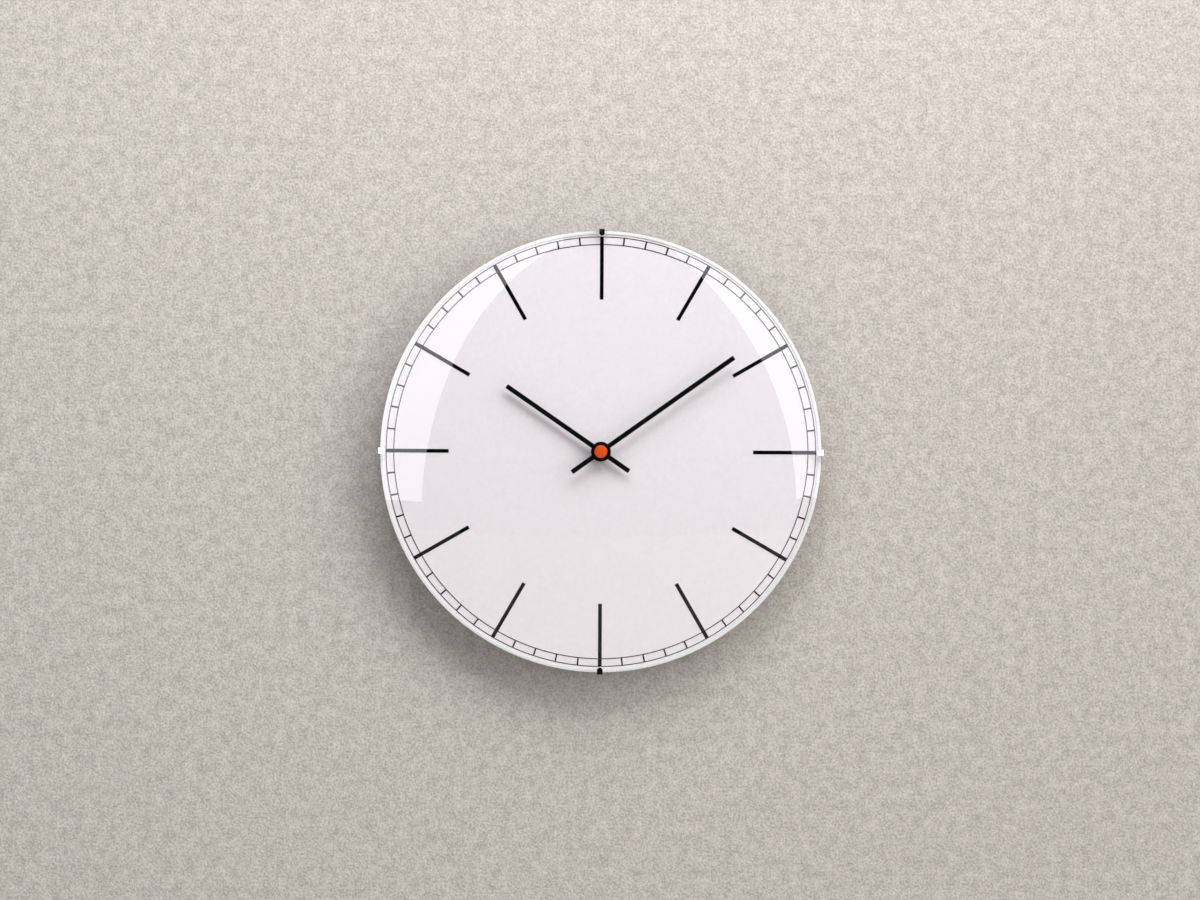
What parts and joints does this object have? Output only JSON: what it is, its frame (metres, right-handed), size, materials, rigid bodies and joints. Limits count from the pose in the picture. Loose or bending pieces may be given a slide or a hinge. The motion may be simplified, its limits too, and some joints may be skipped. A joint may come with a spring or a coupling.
{
  "type": "wall clock",
  "caption": "Round wall clock with a domed glass held by rim clips, a white bar-index dial, straight black hands, an orange cap and a quartz movement in a spun steel pan.",
  "frame": {"origin": "on the axis of the hands, in the plane of the pan's flat back, which lies against the wall", "axes": "+Z to twelve o'clock, -Y out of the dial towards the viewer, +X to three o'clock"},
  "size_m": [0.3538, 0.0491, 0.3538],
  "materials": {
    "spun_steel": "spun and brushed stainless steel sheet",
    "polished_steel": "polished stainless steel strip",
    "bright_screw": "bright stainless steel screw",
    "white_enamel": "satin white enamel on steel sheet",
    "black_print": "screen printed satin black ink",
    "glass": "slumped mineral glass with a ground edge",
    "white_seal": "soft white vinyl seal",
    "clear_pad": "soft translucent liner",
    "black_hand": "satin black lacquer on steel sheet",
    "orange_cap": "moulded orange plastic, semi gloss",
    "brass": "turned brass",
    "black_rubber": "moulded black rubber",
    "black_abs": "fine textured black moulded plastic",
    "white_acetal": "natural moulded acetal",
    "natural_abs": "ivory moulded plastic",
    "soft_iron": "stamped soft iron",
    "copper_wire": "enamelled copper wire, wound",
    "green_board": "green solder mask on glass laminate",
    "black_epoxy": "black potting resin",
    "tin_plate": "nickel plated spring steel",
    "ferrite": "sintered magnet",
    "cell_wrap": "shrunk printed film over a steel can"
  },
  "bodies": {
    "root": {"case_pan": "spun_steel", "dial_plate": "white_enamel", "hour_indices": "black_print", "minute_track": "black_print", "glass_gasket": "white_seal", "glass_dome": "glass", "glass_clip_12": "polished_steel", "glass_clip_3": "polished_steel", "glass_clip_6": "polished_steel", "glass_clip_9": "polished_steel", "clip_pads": "clear_pad", "clip_screws": "bright_screw", "threaded_bush": "brass", "bush_nut": "brass", "dial_washer": "brass", "rubber_washer": "black_rubber", "front_shell": "black_abs", "rear_shell": "black_abs", "train_plate": "white_acetal", "train_bridge": "white_acetal", "train_screws": "bright_screw", "stator": "soft_iron", "coil_core": "soft_iron", "coil_bobbin": "natural_abs", "coil_winding": "copper_wire", "circuit_board": "green_board", "timing_chip": "black_epoxy", "quartz_crystal": "polished_steel", "contact_positive": "tin_plate", "contact_negative": "tin_plate"},
    "minute": {"minute_hand": "black_hand", "cap_nut": "orange_cap", "minute_arbor": "brass", "centre_wheel": "white_acetal"},
    "hour": {"hour_hand": "black_hand", "hour_collet": "brass", "hour_wheel": "white_acetal"},
    "motion_work": {"minute_wheel": "white_acetal"},
    "setting": {"setting_shaft": "white_acetal", "setting_knob": "black_abs"},
    "third": {"third_wheel": "white_acetal"},
    "seconds": {"seconds_wheel": "white_acetal"},
    "intermediate": {"intermediate_wheel": "white_acetal"},
    "rotor": {"rotor_magnet": "ferrite", "rotor_pinion": "white_acetal"},
    "cell": {"cell_can": "cell_wrap", "cell_terminal": "bright_screw"}
  },
  "joints": [
    {"name": "minute_turn", "type": "hinge", "parent": "root", "child": "minute", "pos_m": [0, -0.0156, 0], "axis": [0, 1, 0], "continuous": true},
    {"name": "hour_turn", "type": "hinge", "parent": "root", "child": "hour", "pos_m": [0, -0.0186, 0], "axis": [0, 1, 0], "continuous": true},
    {"name": "motion_work_turn", "type": "hinge", "parent": "root", "child": "motion_work", "pos_m": [0.00846, -0.0169, -0.00308], "axis": [0, 1, 0], "continuous": true},
    {"name": "setting_turn", "type": "hinge", "parent": "root", "child": "setting", "pos_m": [0.01732, -0.007, -0.00464], "axis": [0, 1, 0], "continuous": true},
    {"name": "third_turn", "type": "hinge", "parent": "root", "child": "third", "pos_m": [0.00517, -0.012, 0.01109], "axis": [0, 1, 0], "continuous": true},
    {"name": "seconds_turn", "type": "hinge", "parent": "root", "child": "seconds", "pos_m": [0, -0.0105, 0], "axis": [0, 1, 0], "continuous": true},
    {"name": "intermediate_turn", "type": "hinge", "parent": "root", "child": "intermediate", "pos_m": [-0.0072, -0.009, 0], "axis": [0, 1, 0], "continuous": true},
    {"name": "rotor_turn", "type": "hinge", "parent": "root", "child": "rotor", "pos_m": [-0.01215, -0.0105, 0.00495], "axis": [0, 1, 0], "continuous": true},
    {"name": "cell_out", "type": "slide", "parent": "root", "child": "cell", "axis": [0, 1, 0], "range_m": [0, 0.03]}
  ],
  "couplings": [
    {"joint": "hour_turn", "follows": "minute_turn", "ratio": 0.083333},
    {"joint": "motion_work_turn", "follows": "minute_turn", "ratio": -0.33333},
    {"joint": "setting_turn", "follows": "minute_turn", "ratio": 1},
    {"joint": "third_turn", "follows": "minute_turn", "ratio": -8},
    {"joint": "seconds_turn", "follows": "minute_turn", "ratio": 60},
    {"joint": "intermediate_turn", "follows": "minute_turn", "ratio": -300},
    {"joint": "rotor_turn", "follows": "minute_turn", "ratio": 1800}
  ]
}
